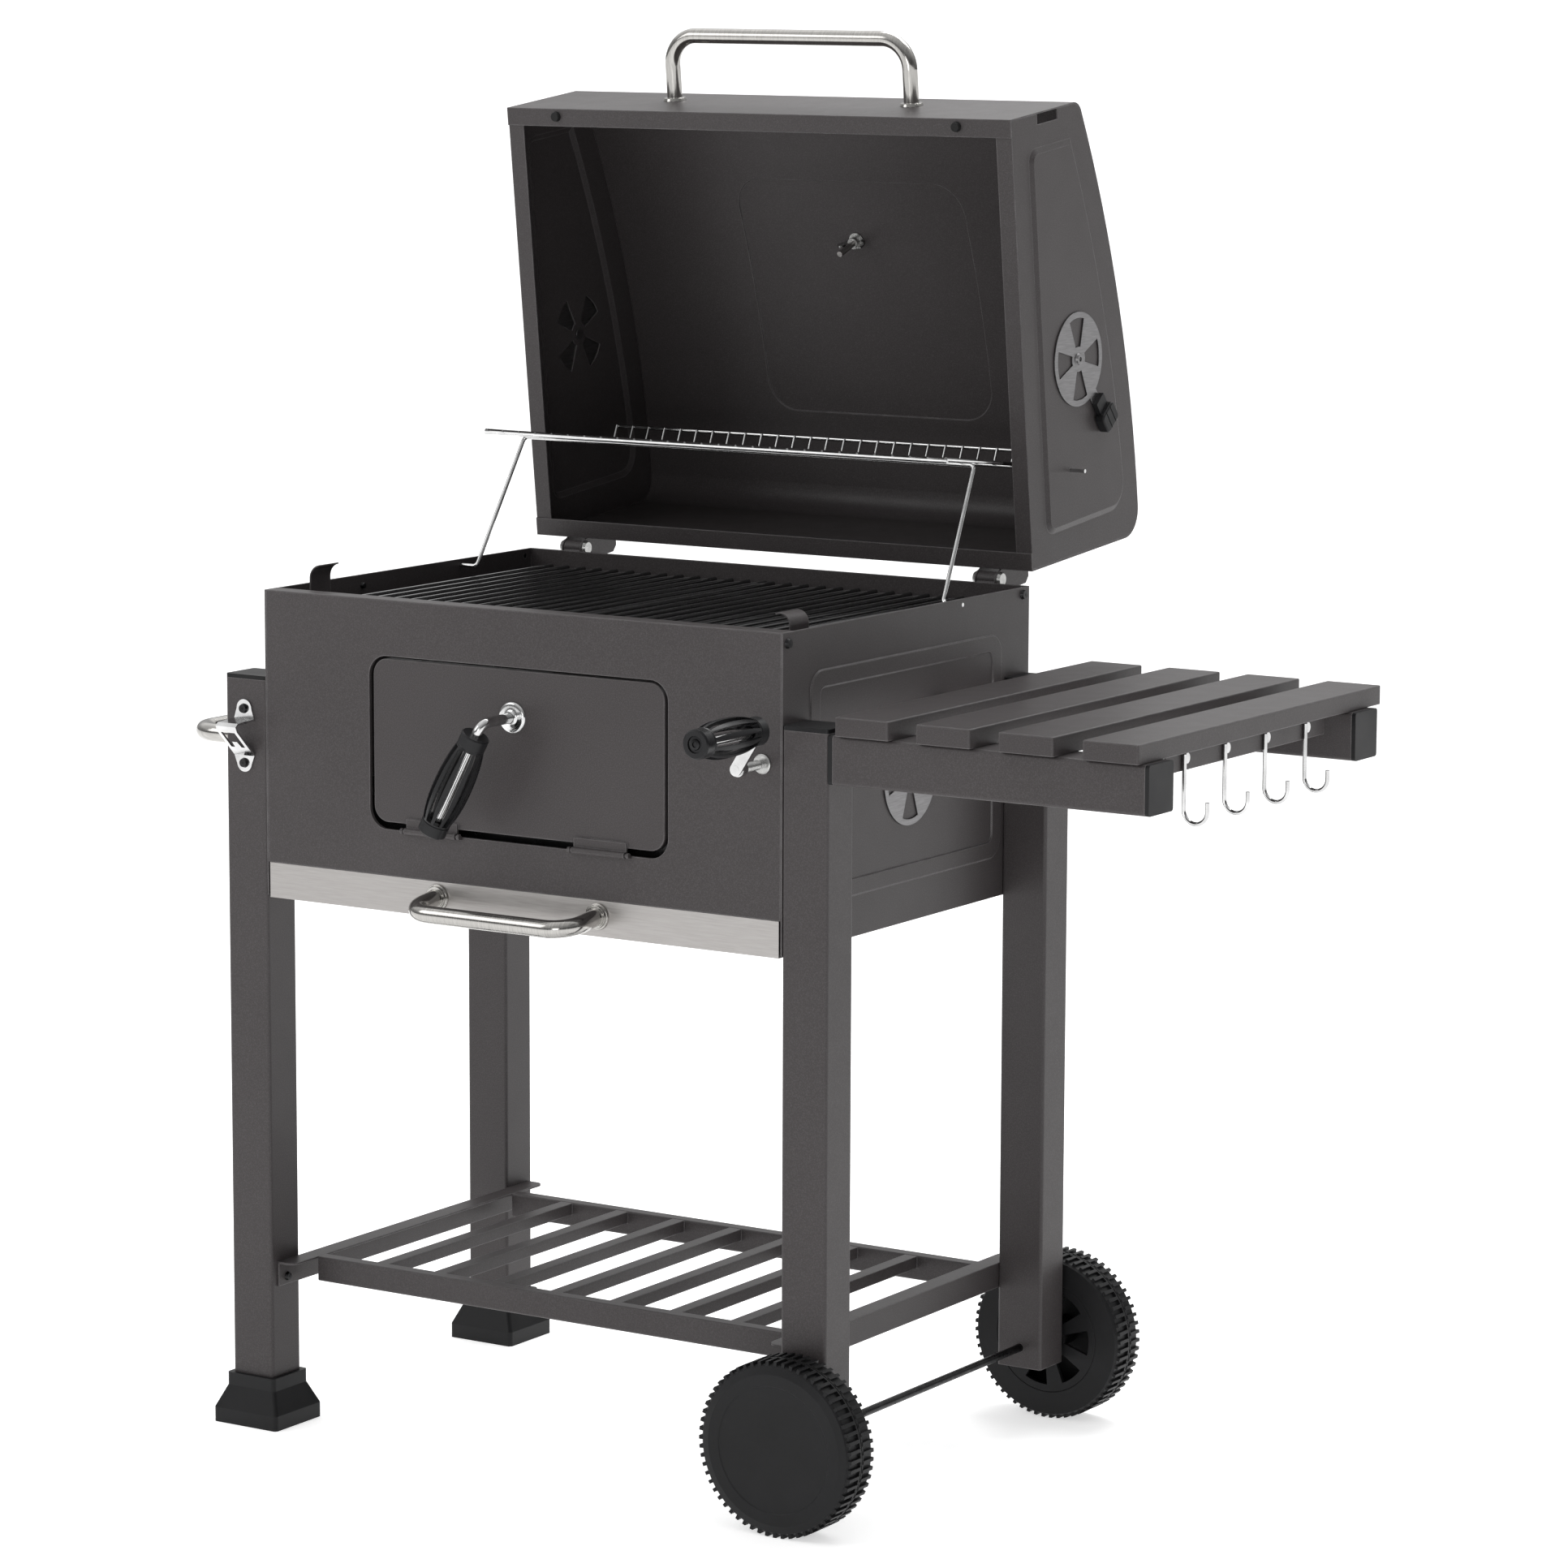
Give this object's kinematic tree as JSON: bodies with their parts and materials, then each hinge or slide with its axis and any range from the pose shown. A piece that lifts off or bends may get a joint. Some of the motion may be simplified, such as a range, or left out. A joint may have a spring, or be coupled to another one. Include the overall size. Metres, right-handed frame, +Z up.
{
  "type": "charcoal barbecue cart",
  "caption": "Charcoal barbecue cart with a hinged lid, warming rack, cranked charcoal pan, stoking door, ash drawer, slatted side table, bottom shelf, feet and wheels.",
  "frame": {"origin": "on the floor, under the middle of the whole cart's outline with the lid open", "axes": "+Z up, -Y the front with the charcoal door, +X towards the side table"},
  "size_m": [1.1092, 0.8187, 1.378],
  "materials": {
    "grey_paint": "fine textured heat-resistant powder coat, graphite grey",
    "handle_steel": "satin stainless tube",
    "bright_steel": "brushed stainless sheet",
    "galvanised_steel": "galvanised sheet",
    "chrome_wire": "bright chrome plate",
    "zinc_steel": "zinc plated",
    "gauge_steel": "stainless housing",
    "black_plastic": "black, fine grain",
    "wheel_plastic": "black moulded, fine grain",
    "rubber_pads": "matt black",
    "black_steel": "black zinc plate, satin",
    "black_enamel": "black enamel"
  },
  "bodies": {
    "cart": {"body_hinge_brackets": "grey_paint", "bottle_opener": "chrome_wire", "crank_bush": "zinc_steel", "door_hinge_pins": "grey_paint", "feet": "black_plastic", "firebox_back": "grey_paint", "firebox_front": "grey_paint", "firebox_left": "grey_paint", "firebox_right": "grey_paint", "frame_screws": "black_steel", "guide_tabs": "grey_paint", "hinge_pins": "zinc_steel", "hook_rail": "grey_paint", "hooks": "chrome_wire", "left_front_leg": "grey_paint", "left_rear_leg": "grey_paint", "push_handle": "handle_steel", "right_front_leg": "grey_paint", "right_rear_leg": "grey_paint", "shelf": "grey_paint", "shelf_side_rails": "grey_paint", "table_arms": "grey_paint", "table_slats": "grey_paint", "tube_caps": "black_plastic", "wheel_axle": "black_steel"},
    "ash_drawer": {"ash_drawer": "galvanised_steel", "ash_drawer_front": "bright_steel", "ash_drawer_handle": "handle_steel"},
    "charcoal_door": {"charcoal_door": "grey_paint", "door_rosette": "zinc_steel"},
    "door_handle": {"door_handle_rod": "zinc_steel", "door_handle_grip": "black_plastic"},
    "crank": {"crank": "zinc_steel"},
    "crank_grip": {"crank_grip": "black_plastic"},
    "lift_bar": {"lift_bar": "zinc_steel"},
    "front_lift_rod": {"front_lift_rod": "zinc_steel"},
    "rear_lift_rod": {"rear_lift_rod": "zinc_steel"},
    "charcoal_pan": {"charcoal_pan": "black_enamel"},
    "cooking_grate_left": {"cooking_grate_left": "black_enamel"},
    "cooking_grate_right": {"cooking_grate_right": "black_enamel"},
    "lid": {"lid_shell": "grey_paint", "lid_left_panel": "grey_paint", "lid_right_panel": "grey_paint", "lid_handle": "handle_steel", "lid_bumpers": "rubber_pads", "thermometer": "gauge_steel", "thermometer_nut": "zinc_steel", "lid_hinge_brackets": "grey_paint"},
    "warming_rack": {"warming_rack": "chrome_wire"},
    "rack_legs": {"rack_legs": "chrome_wire"},
    "front_wheel": {"front_wheel": "wheel_plastic"},
    "rear_wheel": {"rear_wheel": "wheel_plastic"},
    "lid_left_vent": {"lid_left_vent": "zinc_steel", "lid_left_vent_knob": "black_plastic"},
    "lid_right_vent": {"lid_right_vent": "zinc_steel", "lid_right_vent_knob": "black_plastic"},
    "firebox_left_vent": {"firebox_left_vent": "zinc_steel", "firebox_left_vent_knob": "black_plastic"},
    "firebox_right_vent": {"firebox_right_vent": "zinc_steel", "firebox_right_vent_knob": "black_plastic"}
  },
  "joints": [
    {"name": "lid_hinge", "type": "hinge", "parent": "cart", "child": "lid", "pos_m": [-0.1366, 0.2008, 0.843], "axis": [1, 0, 0], "range_deg": [0, 83.4]},
    {"name": "rack_pivot", "type": "hinge", "parent": "lid", "child": "warming_rack", "pos_m": [-0.1366, 0.2687, 0.948], "axis": [1, 0, 0], "range_deg": [-90, 0]},
    {"name": "rack_leg_swing", "type": "hinge", "parent": "cart", "child": "rack_legs", "pos_m": [-0.1366, 0.0647, 0.834], "axis": [1, 0, 0], "range_deg": [0, 68]},
    {"name": "lid_left_vent_turn", "type": "hinge", "parent": "lid", "child": "lid_left_vent", "pos_m": [-0.4366, 0.27997, 1.05752], "axis": [1, 0, 0], "range_deg": [0, 45]},
    {"name": "lid_right_vent_turn", "type": "hinge", "parent": "lid", "child": "lid_right_vent", "pos_m": [0.1634, 0.27997, 1.05752], "axis": [1, 0, 0], "range_deg": [0, 45]},
    {"name": "firebox_left_vent_turn", "type": "hinge", "parent": "cart", "child": "firebox_left_vent", "pos_m": [-0.4376, -0.0323, 0.679], "axis": [1, 0, 0], "range_deg": [0, 45]},
    {"name": "firebox_right_vent_turn", "type": "hinge", "parent": "cart", "child": "firebox_right_vent", "pos_m": [0.1644, -0.0323, 0.679], "axis": [1, 0, 0], "range_deg": [0, 45]},
    {"name": "charcoal_door_hinge", "type": "hinge", "parent": "cart", "child": "charcoal_door", "pos_m": [-0.1366, -0.2597, 0.6175], "axis": [1, 0, 0], "range_deg": [0, 70]},
    {"name": "door_handle_turn", "type": "hinge", "parent": "charcoal_door", "child": "door_handle", "pos_m": [-0.1411, -0.2563, 0.7376], "axis": [0, -1, 0], "range_deg": [0, 90]},
    {"name": "ash_drawer_slide", "type": "slide", "parent": "cart", "child": "ash_drawer", "axis": [0, -1, 0], "range_m": [0, 0.3]},
    {"name": "crank_spin", "type": "hinge", "parent": "cart", "child": "crank", "pos_m": [0.1414, -0.2563, 0.717], "axis": [0, 1, 0], "range_deg": [0, 3987]},
    {"name": "crank_grip_spin", "type": "hinge", "parent": "crank", "child": "crank_grip", "pos_m": [0.1659, -0.3563, 0.755], "axis": [0, 1, 0], "continuous": true},
    {"name": "lift_bar_slide", "type": "slide", "parent": "cart", "child": "lift_bar", "axis": [0, -1, 0], "range_m": [0, 0.0446]},
    {"name": "front_lift_swing", "type": "hinge", "parent": "cart", "child": "front_lift_rod", "pos_m": [-0.1366, -0.1763, 0.6457], "axis": [1, 0, 0], "range_deg": [0, 60.5]},
    {"name": "rear_lift_swing", "type": "hinge", "parent": "cart", "child": "rear_lift_rod", "pos_m": [-0.1366, 0.0437, 0.6457], "axis": [1, 0, 0], "range_deg": [0, 60.5]},
    {"name": "charcoal_pan_lift", "type": "slide", "parent": "cart", "child": "charcoal_pan", "axis": [0, 0, 1], "range_m": [0, 0.0898]},
    {"name": "cooking_grate_left_tilt", "type": "hinge", "parent": "cart", "child": "cooking_grate_left", "pos_m": [-0.40525, -0.0248, 0.8232], "axis": [0, -1, 0], "range_deg": [0, 3]},
    {"name": "cooking_grate_right_tilt", "type": "hinge", "parent": "cart", "child": "cooking_grate_right", "pos_m": [0.13205, -0.0248, 0.8232], "axis": [0, 1, 0], "range_deg": [0, 3]},
    {"name": "front_wheel_spin", "type": "hinge", "parent": "cart", "child": "front_wheel", "pos_m": [0.1889, -0.2858, 0.084], "axis": [0, 1, 0], "continuous": true},
    {"name": "rear_wheel_spin", "type": "hinge", "parent": "cart", "child": "rear_wheel", "pos_m": [0.1889, 0.2192, 0.084], "axis": [0, 1, 0], "continuous": true}
  ],
  "couplings": [
    {"joint": "rack_pivot", "follows": "lid_hinge", "ratio": -1.0736},
    {"joint": "rack_leg_swing", "follows": "lid_hinge", "ratio": 0.80851},
    {"joint": "crank_spin", "follows": "charcoal_pan_lift", "rad_per_m": 773.18},
    {"joint": "lift_bar_slide", "follows": "charcoal_pan_lift", "ratio": 0.49222},
    {"joint": "front_lift_swing", "follows": "charcoal_pan_lift", "rad_per_m": 11.636},
    {"joint": "rear_lift_swing", "follows": "charcoal_pan_lift", "rad_per_m": 11.636}
  ]
}
